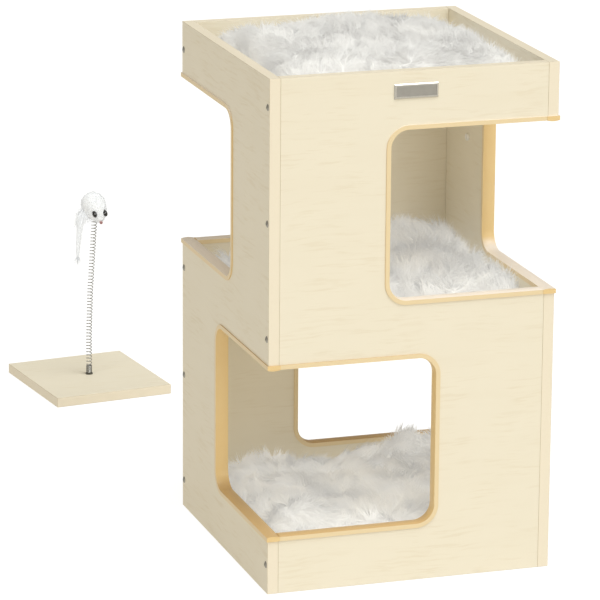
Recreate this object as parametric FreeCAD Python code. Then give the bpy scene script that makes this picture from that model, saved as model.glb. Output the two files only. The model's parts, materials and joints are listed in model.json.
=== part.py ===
import FreeCAD, Part
import math
import os

# A cat house of flat boards with two open dens and a tray, three loose fur cushions,
# and a spring toy that stands on a board of its own.
# Millimetres. +Z is up, -Y is the front, and the origin is the middle of the house's underside.

Vec = FreeCAD.Vector

# ---------------------------------------------------------------- driving dimensions

# House
house_width = 400.0
house_depth = 400.0
house_height = 700.0
board = 15.0
base_band = 79.0          # height of the wall below the lower doorways
middle_band = 80.0        # height of the wall between the two storeys
top_band = 78.0           # height of the wall round the tray
column = 166.0            # width of the upright stretch of a wall
doorway_radius = 25.0
arris = 0.6               # rounding of the walls' long edges

# Edge trim: a U of soft plastic pushed over the doorway edges
trim_lip = 5.5            # how far it reaches over the faces of the board
trim_wall = 1.5
trim_crown = 1.6          # height of its rounded back at the middle
trim_shoulder = 0.3       # height of its rounded back at the sides
trim_air = 0.1            # under its back
trim_tip = 2.0            # how far it stands out past an open end
trim_meeting = 0.2        # between the trims that meet at an open corner

# Floors
floor_above_trim = 2.0    # from a trim's lip to the underside of a floor

# Screws that hold the side walls to the front and the back
screw_length = 40.0
screw_radius = 2.0
screw_head_radius = 4.8
screw_head_height = 1.9
screw_tip = 5.0
recess_length = 5.0
recess_width = 1.0
recess_depth = 1.2

# Dowels that hold the floors between the side walls
dowel_radius = 4.0
dowel_length = 30.0
dowel_in_wall = 10.0
dowel_from_middle = 110.0
bore_air = 0.05
bore_end_air = 0.5

# Plate on the front of the tray
plate_width = 61.0
plate_height = 20.0
plate_rim = 3.0
plate_rim_depth = 2.0
plate_face_depth = 1.2
plate_bevel = 1.2
plate_below_top = 27.0    # from the rim of the tray to the middle of the plate

# Disc for a hanging toy, on the inside of the right wall in the upper den
disc_radius = 5.0
disc_depth = 3.0
disc_round = 0.8
disc_from_middle = 99.0
disc_below_tray = 95.7
string_hole_radius = 0.9
string_hole_spacing = 3.6

# Cushions
cushion_side_air = 5.0
cushion_floor_air = 0.3
cushion_round = 24.0
cover_thickness = 3.0
den_cushion_height = 60.0
top_cushion_height = 86.0

# Spring toy
toy_x = -169.0
toy_y = 829.0
toy_turn = 7.0
toy_width = 190.0
toy_depth = 210.0
toy_edge_round = 1.0
spring_radius = 4.75
ferrule_radius = 5.6
ferrule_height = 2.0
ferrule_peg_radius = 3.6
ferrule_peg_height = 11.0
peg_air = 0.1
lower_spring_length = 58.0
middle_spring_length = 75.0
upper_spring_length = 127.0
middle_spring_lean = 2.0
upper_spring_lean = 3.9
bend_air = 0.5
toy_screw_radius = 1.6
toy_screw_head_radius = 3.4
toy_screw_head_height = 2.2
toy_screw_sunk = 0.4
toy_screw_length = 22.0

# Mouse on the spring
mouse_radius = 19.3
mouse_nose_reach = 39.0   # from the middle of the round rump to the tip of the snout
mouse_pitch = 38.0        # how far the snout points down
mouse_turn = 9.0          # how far the snout points to the right
mouse_above_spring = 12.5
mouse_beside_spring = 3.5
eye_along = 26.0
eye_side = 9.0
eye_up = 7.5
eye_length = 12.0
eye_width = 7.0
eye_tip_radius = 2.5
nose_radius = 2.6
tail_side = -14.0
tail_back = 8.0
tail_drop = 2.0
tail_length = 84.0
tail_swing = 9.5          # how far its tip hangs out to the side
tail_radius = 6.5
tail_tip_radius = 1.5

# ---------------------------------------------------------------- sizes that follow

half_width = house_width / 2
half_depth = house_depth / 2
inner_half_width = half_width - board
inner_half_depth = half_depth - board
doorway_height = (house_height - base_band - middle_band - top_band) / 2
lower_sill = base_band
lower_head = lower_sill + doorway_height
upper_sill = lower_head + middle_band
upper_head = upper_sill + doorway_height
shelf_level = lower_head + trim_lip + floor_above_trim
tray_level = upper_head + trim_lip + floor_above_trim
plate_level = house_height - plate_below_top
beyond = 50.0             # cutters reach this far past the piece they cut

# Quarter turns about Z that bring a wall from the front to its own side
turns = {"front": 0, "right": 90, "back": 180, "left": 270}


def box(x0, x1, y0, y1, z0, z1):
    return Part.makeBox(x1 - x0, y1 - y0, z1 - z0, Vec(x0, y0, z0))


def to_side(shape, side):
    """Take a shape from the frame of a wall (x along it, y inwards from its face) to its side."""
    reach = half_depth if side in ("front", "back") else half_width
    placed = shape.copy()
    placed.translate(Vec(0, -reach, 0))
    placed.rotate(Vec(0, 0, 0), Vec(0, 0, 1), turns[side])
    return placed


def is_side_wall(side):
    return side in ("left", "right")


# ---------------------------------------------------------------- walls and doorways

def doorways(side):
    """Each doorway of a wall: name, the way it opens (+1 or -1), closed edge, sill and head."""
    reach = half_depth if is_side_wall(side) else half_width
    edge = reach - column
    way = -1 if is_side_wall(side) else 1
    upper = ("upper", way, -way * edge, upper_sill, upper_head)
    lower = ("lower", -way, way * edge, lower_sill, lower_head)
    return [upper, lower]


def doorway_edges(way, closed, open_end, sill, head):
    """The C of edges round a doorway, from its open end on the sill to its open end on the head."""
    r = doorway_radius
    turn_in = closed + way * r
    cos45 = r * math.cos(math.radians(45))
    low_mid = Vec(turn_in - way * cos45, 0, sill + r - cos45)
    high_mid = Vec(turn_in - way * cos45, 0, head - r + cos45)
    return [
        Part.LineSegment(Vec(open_end, 0, sill), Vec(turn_in, 0, sill)).toShape(),
        Part.Arc(Vec(turn_in, 0, sill), low_mid, Vec(closed, 0, sill + r)).toShape(),
        Part.LineSegment(Vec(closed, 0, sill + r), Vec(closed, 0, head - r)).toShape(),
        Part.Arc(Vec(closed, 0, head - r), high_mid, Vec(turn_in, 0, head)).toShape(),
        Part.LineSegment(Vec(turn_in, 0, head), Vec(open_end, 0, head)).toShape(),
    ]


def doorway_cutter(way, closed, open_end, sill, head):
    edges = doorway_edges(way, closed, open_end, sill, head)
    edges.append(Part.LineSegment(Vec(open_end, 0, head), Vec(open_end, 0, sill)).toShape())
    face = Part.Face(Part.Wire(edges))
    face.translate(Vec(0, -beyond, 0))
    return face.extrude(Vec(0, 2 * beyond + board, 0))


def wall(side):
    """An S of board: a band at the bottom, middle and top, joined by one column per storey."""
    span = half_depth if is_side_wall(side) else inner_half_width
    block = box(-span, span, 0, board, 0, house_height)
    shape = block.makeFillet(arris, block.Edges)
    for _, way, closed, sill, head in doorways(side):
        shape = shape.cut(doorway_cutter(way, closed, way * (span + beyond), sill, head))
    shape = to_side(shape, side)
    for cutter in screw_bores() + dowel_bores():
        shape = shape.cut(cutter)
    return shape


def trim(side, way, closed, sill, head):
    """The U of one doorway, swept along its edge from one open end to the other."""
    if is_side_wall(side):
        open_end = way * (half_depth + trim_tip)
    else:
        open_end = way * (inner_half_width - trim_wall - trim_meeting)
    spine = Part.Wire(doorway_edges(way, closed, open_end, sill, head))
    low = sill - trim_lip
    corners = [
        Vec(open_end, -trim_wall, low),
        Vec(open_end, 0, low),
        Vec(open_end, 0, sill + trim_air),
        Vec(open_end, board, sill + trim_air),
        Vec(open_end, board, low),
        Vec(open_end, board + trim_wall, low),
        Vec(open_end, board + trim_wall, sill + trim_shoulder),
    ]
    edges = [Part.LineSegment(a, b).toShape() for a, b in zip(corners, corners[1:])]
    crown = Vec(open_end, board / 2, sill + trim_crown)
    left_shoulder = Vec(open_end, -trim_wall, sill + trim_shoulder)
    edges.append(Part.Arc(corners[-1], crown, left_shoulder).toShape())
    edges.append(Part.LineSegment(left_shoulder, corners[0]).toShape())
    shape = spine.makePipeShell([Part.Wire(edges)], True, False)
    if is_side_wall(side):
        shape = finish_side_trim(shape, way, sill, head)
    return to_side(shape, side)


def finish_side_trim(shape, way, sill, head):
    """Close both ends of a side wall's trim, and notch its inner lip for the wall that butts there."""
    for level, outer in ((sill, sill - trim_lip), (head, head + trim_lip)):
        low, high = sorted((level, outer))
        ahead = sorted((way * half_depth, way * (half_depth + trim_tip)))
        cap = box(ahead[0], ahead[1], -trim_wall, board + trim_wall, low, high)
        shape = shape.fuse(cap)
        beside = sorted((way * inner_half_depth, way * half_depth))
        notch = box(beside[0], beside[1], board, board + beyond, low - trim_wall, high + trim_wall)
        kept_crown = box(beside[0], beside[1], board, board + beyond, *sorted((level, 2 * level - outer)))
        shape = shape.cut(notch.cut(kept_crown))
    return shape.removeSplitter()


# ---------------------------------------------------------------- screws and dowels

def screw_places():
    """Where a side wall's screws enter, along the wall and up, in the wall's own frame."""
    edge = half_depth - board / 2
    shared = [base_band / 2, (lower_head + upper_sill) / 2, (upper_head + house_height) / 2]
    upper_column = (upper_sill + upper_head) / 2
    lower_column = (lower_sill + lower_head) / 2
    ahead = [(edge, level) for level in shared + [upper_column]]
    behind = [(-edge, level) for level in shared + [lower_column]]
    return ahead + behind


def turned(points, origin, axis):
    """A solid of revolution. The points are (radius, distance along the axis)."""
    corners = [Vec(r, 0, z) for r, z in points]
    face = Part.Face(Part.makePolygon(corners + corners[:1]))
    solid = face.revolve(Vec(0, 0, 0), Vec(0, 0, 1), 360)
    solid.Placement = FreeCAD.Placement(origin, FreeCAD.Rotation(Vec(0, 0, 1), axis))
    return solid


def wall_screw(along, level):
    """A wood screw with a rounded, cross-slotted head, driven inwards from the wall's face."""
    tip = screw_length - screw_tip
    shank = turned([(0, 0), (screw_radius, 0), (screw_radius, tip), (0, screw_length)],
                   Vec(along, 0, level), Vec(0, 1, 0))
    r = screw_head_radius
    h = screw_head_height
    ball = (r * r + h * h) / (2 * h)
    head = Part.makeSphere(ball, Vec(along, ball - h, level))
    keep = box(along - r, along + r, -h, 0, level - r, level + r)
    head = head.common(keep)
    long = recess_length / 2
    thin = recess_width / 2
    deep = recess_depth - h
    head = head.cut(box(along - long, along + long, -h, deep, level - thin, level + thin))
    head = head.cut(box(along - thin, along + thin, -h, deep, level - long, level + long))
    return head.fuse(shank).removeSplitter()


def wall_screws(side):
    return [to_side(wall_screw(along, level), side) for along, level in screw_places()]


def screw_bores():
    bores = []
    for side in ("left", "right"):
        for along, level in screw_places():
            bore = Part.makeCylinder(screw_radius + bore_air, screw_length + bore_end_air,
                                     Vec(along, 0, level), Vec(0, 1, 0))
            bores.append(to_side(bore, side))
    return bores


def dowel_row(floor_level, radius, end_air):
    """The four dowels, or their bores, at the two sides of one floor."""
    middle = floor_level + board / 2
    row = []
    for side in ("left", "right"):
        for along in (-dowel_from_middle, dowel_from_middle):
            start = Vec(along, board - dowel_in_wall - end_air, middle)
            peg = Part.makeCylinder(radius, dowel_length + 2 * end_air, start, Vec(0, 1, 0))
            row.append(to_side(peg, side))
    return row


def dowels(floor_level):
    return dowel_row(floor_level, dowel_radius, 0)


def dowel_bores():
    bores = []
    for level in (0, shelf_level, tray_level):
        bores += dowel_row(level, dowel_radius + bore_air, bore_end_air)
    return bores


def floor(level):
    shape = box(-inner_half_width, inner_half_width, -inner_half_depth, inner_half_depth,
                level, level + board)
    for bore in dowel_bores():
        shape = shape.cut(bore)
    return shape


# ---------------------------------------------------------------- plate and disc

def plate_frame():
    w = plate_width / 2
    h = plate_height / 2
    rim = box(-w, w, -plate_rim_depth, 0, plate_level - h, plate_level + h)
    front = [e for e in rim.Edges if all(v.Y < -plate_rim_depth / 2 for v in e.Vertexes)]
    rim = rim.makeChamfer(plate_bevel, front)
    return to_side(rim.cut(plate_window(plate_rim_depth + beyond)), "front")


def plate_window(depth):
    w = plate_width / 2 - plate_rim
    h = plate_height / 2 - plate_rim
    return box(-w, w, -depth, 0, plate_level - h, plate_level + h)


def plate_face():
    return to_side(plate_window(plate_face_depth), "front")


def hanging_disc():
    """A round button with two string holes, one above the other, against the right wall."""
    level = tray_level - disc_below_tray
    disc = Part.makeCylinder(disc_radius, disc_depth, Vec(disc_from_middle, board, level), Vec(0, 1, 0))
    rims = [e for e in disc.Edges if e.CenterOfMass.y > board + disc_depth / 2]
    disc = disc.makeFillet(disc_round, rims)
    for drop in (-string_hole_spacing / 2, string_hole_spacing / 2):
        hole = Part.makeCylinder(string_hole_radius, disc_depth + beyond,
                                 Vec(disc_from_middle, board, level + drop), Vec(0, 1, 0))
        disc = disc.cut(hole)
    return to_side(disc, "right")


# ---------------------------------------------------------------- cushions

def cushion(level, height, inset):
    """A rounded block that fills a floor, or its filling when inset by the cover."""
    x = inner_half_width - cushion_side_air - inset
    y = inner_half_depth - cushion_side_air - inset
    low = level + board + cushion_floor_air + inset
    high = level + board + cushion_floor_air + height - inset
    block = box(-x, x, -y, y, low, high)
    return block.makeFillet(cushion_round - inset, block.Edges)


# ---------------------------------------------------------------- spring toy

toy_middle = Vec(toy_x, toy_y, 0)
ferrule_top = Vec(toy_x, toy_y, board + ferrule_height)


def along_lean(start, length, lean):
    lean = math.radians(lean)
    return start + Vec(length * math.sin(lean), 0, length * math.cos(lean))


lower_bend = ferrule_top + Vec(0, 0, lower_spring_length)
upper_bend = along_lean(lower_bend, middle_spring_length, middle_spring_lean)
spring_top = along_lean(upper_bend, upper_spring_length, upper_spring_lean)
mouse_middle = along_lean(spring_top, mouse_above_spring, upper_spring_lean)
mouse_middle = mouse_middle - Vec(mouse_beside_spring, 0, 0)


def toy_board():
    w = toy_width / 2
    d = toy_depth / 2
    block = box(-w, w, -d, d, 0, board)
    shape = block.makeFillet(toy_edge_round, block.Edges)
    shape.rotate(Vec(0, 0, 0), Vec(0, 0, 1), toy_turn)
    shape.translate(toy_middle)
    return shape.cut(toy_screw(bore_air))


def toy_screw(air):
    """The screw that comes up through the toy's board into the ferrule, or its bore."""
    shank = toy_screw_radius + air
    head = toy_screw_head_radius + air
    low = 0 if air else toy_screw_sunk
    throat = toy_screw_sunk + toy_screw_head_height
    top = toy_screw_sunk + toy_screw_length + air
    return turned([(0, low), (head, low), (head, toy_screw_sunk + air), (shank, throat + air),
                   (shank, top), (0, top)], toy_middle, Vec(0, 0, 1))


def spring_ferrule():
    """A flange on the toy's board with a peg that the spring's first turns grip."""
    peg = ferrule_height + ferrule_peg_height
    shape = turned([(0, 0), (ferrule_radius, 0), (ferrule_radius, ferrule_height),
                    (ferrule_peg_radius, ferrule_height), (ferrule_peg_radius, peg), (0, peg)],
                   Vec(toy_x, toy_y, board), Vec(0, 0, 1))
    return shape.cut(toy_screw(bore_air))


def spring_rod(start, end):
    way = end - start
    return Part.makeCylinder(spring_radius, way.Length, start, way)


def bend_cup(place):
    return Part.makeSphere(spring_radius + bend_air, place)


def bend_ball(place):
    return Part.makeSphere(spring_radius, place)


def lower_spring():
    bore = Part.makeCylinder(ferrule_peg_radius + peg_air, ferrule_peg_height + peg_air, ferrule_top)
    return spring_rod(ferrule_top, lower_bend).fuse(bend_ball(lower_bend)).cut(bore)


def middle_spring():
    rod = spring_rod(lower_bend, upper_bend).fuse(bend_ball(upper_bend))
    return rod.cut(bend_cup(lower_bend))


def upper_spring():
    return spring_rod(upper_bend, spring_top).cut(bend_cup(upper_bend))


def mouse_frame():
    """The mouse's own directions: along its snout, to its side, and up over its head."""
    pitch = math.radians(mouse_pitch)
    turned_right = FreeCAD.Rotation(Vec(0, 0, 1), mouse_turn)
    along = Vec(0, -math.cos(pitch), -math.sin(pitch))
    up = Vec(0, -math.sin(pitch), math.cos(pitch))
    return tuple(turned_right.multVec(v) for v in (along, Vec(1, 0, 0), up))


def mouse_egg():
    """A round rump that runs into a pointed snout, turned about the line of the snout."""
    r = mouse_radius
    reach = mouse_nose_reach
    flank = (reach * reach + r * r) / (2 * r)
    half = reach / 2
    flank_mid = math.sqrt(flank * flank - half * half) - (flank - r)
    cos45 = r * math.cos(math.radians(45))
    rump = Part.Arc(Vec(0, 0, -r), Vec(cos45, 0, -cos45), Vec(r, 0, 0)).toShape()
    snout = Part.Arc(Vec(r, 0, 0), Vec(flank_mid, 0, half), Vec(0, 0, reach)).toShape()
    spine = Part.LineSegment(Vec(0, 0, reach), Vec(0, 0, -r)).toShape()
    egg = Part.Face(Part.Wire([rump, snout, spine])).revolve(Vec(0, 0, 0), Vec(0, 0, 1), 360)
    along = mouse_frame()[0]
    egg.Placement = FreeCAD.Placement(mouse_middle, FreeCAD.Rotation(Vec(0, 0, 1), along))
    return egg


def eye_bead():
    """An oval bead, longer than it is wide, turned about its length."""
    tip = eye_length / 2 - eye_tip_radius
    fuller = eye_width / 2 - eye_tip_radius
    back = (tip * tip - fuller * fuller) / (2 * fuller)
    slope = math.atan2(tip, back)
    half = slope / 2 + math.pi / 4
    corner = Vec(eye_tip_radius * math.cos(slope), 0, tip + eye_tip_radius * math.sin(slope))
    round_of_tip = Vec(eye_tip_radius * math.cos(half), 0, tip + eye_tip_radius * math.sin(half))
    top, bottom = Vec(0, 0, eye_length / 2), Vec(0, 0, -eye_length / 2)
    across = Vec(eye_width / 2, 0, 0)

    def below(point):
        return Vec(point.x, point.y, -point.z)

    outline = Part.Wire([Part.Arc(bottom, below(round_of_tip), below(corner)).toShape(),
                         Part.Arc(below(corner), across, corner).toShape(),
                         Part.Arc(corner, round_of_tip, top).toShape(),
                         Part.LineSegment(top, bottom).toShape()])
    return Part.Face(outline).revolve(Vec(0, 0, 0), Vec(0, 0, 1), 360)


def mouse_eyes():
    """Two beads, longer along the snout, half sunk in the face."""
    along, side, up = mouse_frame()
    eyes = []
    for hand in (-1, 1):
        bead = eye_bead()
        place = mouse_middle + along * eye_along + side * (hand * eye_side) + up * eye_up
        bead.Placement = FreeCAD.Placement(place, FreeCAD.Rotation(Vec(0, 0, 1), along))
        eyes.append(bead)
    return eyes


def mouse_nose():
    along = mouse_frame()[0]
    return Part.makeSphere(nose_radius, mouse_middle + along * (mouse_nose_reach - nose_radius / 2))


def mouse_tail():
    """A tapered tail that leaves the rump at the side and hangs down in a soft curve."""
    root = mouse_middle + Vec(tail_side, tail_back, -tail_drop)
    rings = []
    stations = 5
    for i in range(stations):
        share = i / (stations - 1)
        swing = tail_swing * math.sin(share * math.pi / 2)
        place = root + Vec(-swing, 0, -tail_length * share)
        radius = tail_radius + (tail_tip_radius - tail_radius) * share ** 2
        rings.append(Part.Wire(Part.makeCircle(radius, place, Vec(0, 0, 1))))
    return Part.makeLoft(rings, True, False)


def mouse_body():
    body = mouse_egg()
    socket = Part.makeCylinder(spring_radius, upper_spring_length, upper_bend, spring_top - upper_bend)
    for piece in [mouse_nose(), socket] + mouse_eyes():
        body = body.cut(piece)
    return body


# ---------------------------------------------------------------- all the pieces

def all_pieces():
    pieces = {}
    for side in turns:
        pieces[side + "_wall"] = [wall(side)]
        for name, way, closed, sill, head in doorways(side):
            pieces[side + "_" + name + "_trim"] = [trim(side, way, closed, sill, head)]
    for side in ("left", "right"):
        pieces[side + "_wall_screws"] = wall_screws(side)
    for name, level in (("base", 0), ("shelf", shelf_level), ("tray", tray_level)):
        pieces[name + "_floor"] = [floor(level)]
        pieces[name + "_dowels"] = dowels(level)
    pieces["plate_frame"] = [plate_frame()]
    pieces["plate_face"] = [plate_face()]
    pieces["hanging_disc"] = [hanging_disc()]
    beds = (("lower", 0, den_cushion_height), ("upper", shelf_level, den_cushion_height),
            ("top", tray_level, top_cushion_height))
    for name, level, height in beds:
        filling = cushion(level, height, cover_thickness)
        pieces[name + "_cushion_cover"] = [cushion(level, height, 0).cut(filling)]
        pieces[name + "_cushion_filling"] = [filling]
    pieces["toy_board"] = [toy_board()]
    pieces["toy_screw"] = [toy_screw(0)]
    pieces["spring_ferrule"] = [spring_ferrule()]
    pieces["lower_spring"] = [lower_spring()]
    pieces["middle_spring"] = [middle_spring()]
    pieces["upper_spring"] = [upper_spring()]
    pieces["mouse_body"] = [mouse_body()]
    pieces["mouse_eyes"] = mouse_eyes()
    pieces["mouse_nose"] = [mouse_nose()]
    pieces["mouse_tail"] = [mouse_tail().cut(mouse_egg())]
    return pieces


os.makedirs("parts", exist_ok=True)
for node, shapes in all_pieces().items():
    solids = [solid for shape in shapes for solid in shape.Solids]
    whole = solids[0] if len(solids) == 1 else Part.makeCompound(solids)
    whole.exportStep("parts/" + node + ".step")
    volume = sum(solid.Volume for solid in solids)
    print(f"{node}: {len(solids)} solids, valid {whole.isValid()}, {volume / 1000:.2f} cm3")
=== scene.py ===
import json
import math

import bmesh
import bpy
from bpy.props import FloatProperty, FloatVectorProperty, IntProperty, PointerProperty
from mathutils import Matrix, Vector, noise


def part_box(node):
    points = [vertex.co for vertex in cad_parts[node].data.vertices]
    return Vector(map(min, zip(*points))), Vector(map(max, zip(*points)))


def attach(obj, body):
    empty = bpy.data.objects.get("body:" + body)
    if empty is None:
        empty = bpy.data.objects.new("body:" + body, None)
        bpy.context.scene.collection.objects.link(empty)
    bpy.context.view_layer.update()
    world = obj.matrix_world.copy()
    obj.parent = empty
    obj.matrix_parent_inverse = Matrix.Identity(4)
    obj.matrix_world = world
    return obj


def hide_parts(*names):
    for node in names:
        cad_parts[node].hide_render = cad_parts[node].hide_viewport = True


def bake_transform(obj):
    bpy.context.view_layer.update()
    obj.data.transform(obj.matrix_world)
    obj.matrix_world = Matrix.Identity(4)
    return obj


bl_info = {
    "name": "Cat House Finisher",
    "version": (1, 0, 0),
    "blender": (4, 5, 0),
    "location": "View3D > Sidebar > Cat House",
    "description": "Boards, edge trim, fur cushions, spring toy and studio of a cat house",
    "category": "Object",
}

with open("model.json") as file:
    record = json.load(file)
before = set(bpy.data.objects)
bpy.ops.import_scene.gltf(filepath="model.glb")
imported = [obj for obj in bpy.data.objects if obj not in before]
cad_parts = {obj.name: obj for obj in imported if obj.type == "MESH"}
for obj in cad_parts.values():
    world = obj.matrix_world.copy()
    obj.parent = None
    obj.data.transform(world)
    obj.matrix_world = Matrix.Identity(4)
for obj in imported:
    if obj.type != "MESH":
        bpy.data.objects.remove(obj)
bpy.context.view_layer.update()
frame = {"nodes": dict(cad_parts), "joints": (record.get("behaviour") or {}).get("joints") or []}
nodes = frame["nodes"]


def middle_of(node):
    low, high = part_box(node)
    return (low + high) / 2


# ---------------------------------------------------------------- settings

class LaminateSettings(bpy.types.PropertyGroup):
    """Pale wood-print boards."""
    color: FloatVectorProperty(
        name="Board", description="Colour of the printed face", subtype="COLOR",
        size=3, min=0, max=1, default=(0.880, 0.818, 0.675))
    streak: FloatVectorProperty(
        name="Streak", description="Colour of the darker grain", subtype="COLOR",
        size=3, min=0, max=1, default=(0.700, 0.590, 0.400))
    grain_length: FloatProperty(
        name="Grain length", description="Length of a grain streak",
        subtype="DISTANCE", unit="LENGTH", default=0.045)
    grain_pitch: FloatProperty(
        name="Grain pitch", description="Distance between grain streaks",
        subtype="DISTANCE", unit="LENGTH", default=0.0036)


class TrimSettings(bpy.types.PropertyGroup):
    """Soft plastic edge trim."""
    color: FloatVectorProperty(
        name="Trim", description="Colour of the edge trim's crown", subtype="COLOR",
        size=3, min=0, max=1, default=(0.840, 0.610, 0.290))
    # Painted highlight: the lips are painted paler than the crown, though the trim is one plastic.
    lip_highlight: FloatVectorProperty(
        name="Lips", description="Colour of the thin lips on the faces of the boards", subtype="COLOR",
        size=3, min=0, max=1, default=(0.850, 0.690, 0.430))
    # Painted reflection: the upward faces of the upper sills are painted pale, as if they mirror the
    # bright light above.
    upper_sill_reflection: FloatVectorProperty(
        name="Upper sills", description="Colour of the upper doorways' sills", subtype="COLOR",
        size=3, min=0, max=1, default=(0.930, 0.860, 0.800))
    # Painted shade: the upward faces of the lower sills are painted brown, as if shaded by the floor
    # above them.
    lower_sill_shade: FloatVectorProperty(
        name="Lower sills", description="Colour of the lower doorways' sills", subtype="COLOR",
        size=3, min=0, max=1, default=(0.640, 0.430, 0.200))


class FurSettings(bpy.types.PropertyGroup):
    """Long white pile of the cushions."""
    color: FloatVectorProperty(
        name="Pile", description="Colour of the pile", subtype="COLOR",
        size=3, min=0, max=1, default=(0.880, 0.875, 0.860))
    length: FloatProperty(
        name="Length", description="Length of the pile",
        subtype="DISTANCE", unit="LENGTH", default=0.030)
    thickness: FloatProperty(
        name="Lock thickness", description="Thickness of one lock at its root",
        subtype="DISTANCE", unit="LENGTH", default=0.0011)
    locks: IntProperty(
        name="Locks", description="Locks of fur on each strip of a cushion",
        min=100, default=19500)
    clump: FloatProperty(
        name="Clump", description="Size of the clumps that the locks lean into",
        subtype="DISTANCE", unit="LENGTH", default=0.034)
    # Painted light: the pile's emission, which stands in for the light bounced between its white hairs.
    painted_glow: FloatProperty(
        name="Glow", description="Light that the white pile passes on between its hairs",
        min=0, max=1, default=0.50)
    seed: IntProperty(name="Seed", description="Seed of the scatter", default=11)


class SpringSettings(bpy.types.PropertyGroup):
    """Wire coil of the toy."""
    wire: FloatProperty(
        name="Wire", description="Thickness of the wire",
        subtype="DISTANCE", unit="LENGTH", default=0.0013)
    pitch: FloatProperty(
        name="Pitch", description="Distance between turns",
        subtype="DISTANCE", unit="LENGTH", default=0.0051)
    foot: FloatProperty(
        name="Closed foot", description="Height of the closed turns at the foot",
        subtype="DISTANCE", unit="LENGTH", default=0.012)


class MouseSettings(bpy.types.PropertyGroup):
    """Plush body and hanging tail of the toy mouse."""
    plush: FloatVectorProperty(
        name="Plush", description="Colour of the body's short pile", subtype="COLOR",
        size=3, min=0, max=1, default=(0.74, 0.76, 0.79))
    # Painted light: the body pile's emission, which stands in for the light bounced between its hairs.
    plush_painted_glow: FloatProperty(
        name="Plush glow", description="Light that the body's pile passes on",
        min=0, max=1, default=0.37)
    plush_length: FloatProperty(
        name="Plush length", description="Length of the body's pile",
        subtype="DISTANCE", unit="LENGTH", default=0.0028)
    plush_locks: IntProperty(
        name="Plush locks", description="Locks of pile on the body", min=100, default=3000)
    hair: FloatVectorProperty(
        name="Tail", description="Colour of the tail's hair", subtype="COLOR",
        size=3, min=0, max=1, default=(0.80, 0.82, 0.85))
    # Painted light: the tail hair's emission, which stands in for the light bounced between its hairs.
    hair_painted_glow: FloatProperty(
        name="Tail glow", description="Light that the tail's hair passes on",
        min=0, max=1, default=0.50)
    hair_length: FloatProperty(
        name="Tail length", description="Length of the tail's hair",
        subtype="DISTANCE", unit="LENGTH", default=0.028)
    hair_locks: IntProperty(
        name="Tail locks", description="Locks of hair on the tail", min=100, default=1500)


class StudioSettings(bpy.types.PropertyGroup):
    """Camera and light."""
    azimuth: FloatProperty(
        name="Azimuth", description="Way the camera looks, round from the back",
        subtype="ANGLE", unit="ROTATION", default=math.radians(18.0533))
    elevation: FloatProperty(
        name="Elevation", description="How far the camera looks down",
        subtype="ANGLE", unit="ROTATION", default=math.radians(15.2205))
    roll: FloatProperty(
        name="Roll", description="Tilt of the camera about its own line",
        subtype="ANGLE", unit="ROTATION", default=math.radians(0.3993))
    place: FloatVectorProperty(
        name="Place", description="Where the camera stands", subtype="XYZ",
        unit="LENGTH", size=3, default=(-1.70596, -4.95201, 1.76259))
    lens: FloatProperty(
        name="Lens", description="Focal length in millimetres on a 36 mm sensor", default=237.785)


# ---------------------------------------------------------------- node helpers

def link(tree, source, target):
    tree.links.new(source, target)


def math_node(tree, operation, first, second=None, clamp=False):
    node = tree.nodes.new("ShaderNodeMath")
    node.operation = operation
    node.use_clamp = clamp
    for i, value in enumerate((first, second)):
        if isinstance(value, (int, float)):
            node.inputs[i].default_value = value
        elif value is not None:
            link(tree, value, node.inputs[i])
    return node.outputs[0]


def vector_node(tree, operation, first, second=None, scale=None):
    node = tree.nodes.new("ShaderNodeVectorMath")
    node.operation = operation
    for i, value in enumerate((first, second)):
        if isinstance(value, (tuple, Vector)):
            node.inputs[i].default_value = value
        elif value is not None:
            link(tree, value, node.inputs[i])
    if scale is not None:
        if isinstance(scale, (int, float)):
            node.inputs["Scale"].default_value = scale
        else:
            link(tree, scale, node.inputs["Scale"])
    output = "Value" if operation in ("LENGTH", "DOT_PRODUCT", "DISTANCE") else "Vector"
    return node.outputs[output]


def mix_color(tree, factor, first, second, blend="MIX"):
    node = tree.nodes.new("ShaderNodeMix")
    node.data_type = "RGBA"
    node.blend_type = blend
    for socket, value in ((node.inputs[0], factor), (node.inputs[6], first), (node.inputs[7], second)):
        if isinstance(value, (int, float)):
            socket.default_value = value
        elif isinstance(value, tuple):
            socket.default_value = (*value[:3], 1)
        else:
            link(tree, value, socket)
    return node.outputs[2]


def ranged(tree, value, low, high, to_low=0.0, to_high=1.0):
    node = tree.nodes.new("ShaderNodeMapRange")
    link(tree, value, node.inputs["Value"])
    node.inputs["From Min"].default_value = low
    node.inputs["From Max"].default_value = high
    node.inputs["To Min"].default_value = to_low
    node.inputs["To Max"].default_value = to_high
    return node.outputs["Result"]


def noise_node(tree, vector, scale, detail=3.0, roughness=0.5):
    node = tree.nodes.new("ShaderNodeTexNoise")
    link(tree, vector, node.inputs["Vector"])
    node.inputs["Scale"].default_value = scale
    node.inputs["Detail"].default_value = detail
    node.inputs["Roughness"].default_value = roughness
    return node.outputs["Fac"]


def bump_node(tree, height, strength, distance):
    node = tree.nodes.new("ShaderNodeBump")
    node.inputs["Strength"].default_value = strength
    node.inputs["Distance"].default_value = distance
    link(tree, height, node.inputs["Height"])
    return node.outputs["Normal"]


def object_coordinates(tree):
    return tree.nodes.new("ShaderNodeTexCoord").outputs["Object"]


def new_material(name, roughness, **sockets):
    """A material with a Principled surface. The keywords set that shader's own sockets."""
    material = bpy.data.materials.new(name)
    material.use_nodes = True
    tree = material.node_tree
    surface = tree.nodes["Principled BSDF"]
    surface.inputs["Roughness"].default_value = roughness
    for key, value in sockets.items():
        surface.inputs[key.replace("_", " ")].default_value = value
    return material, tree, surface


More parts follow.
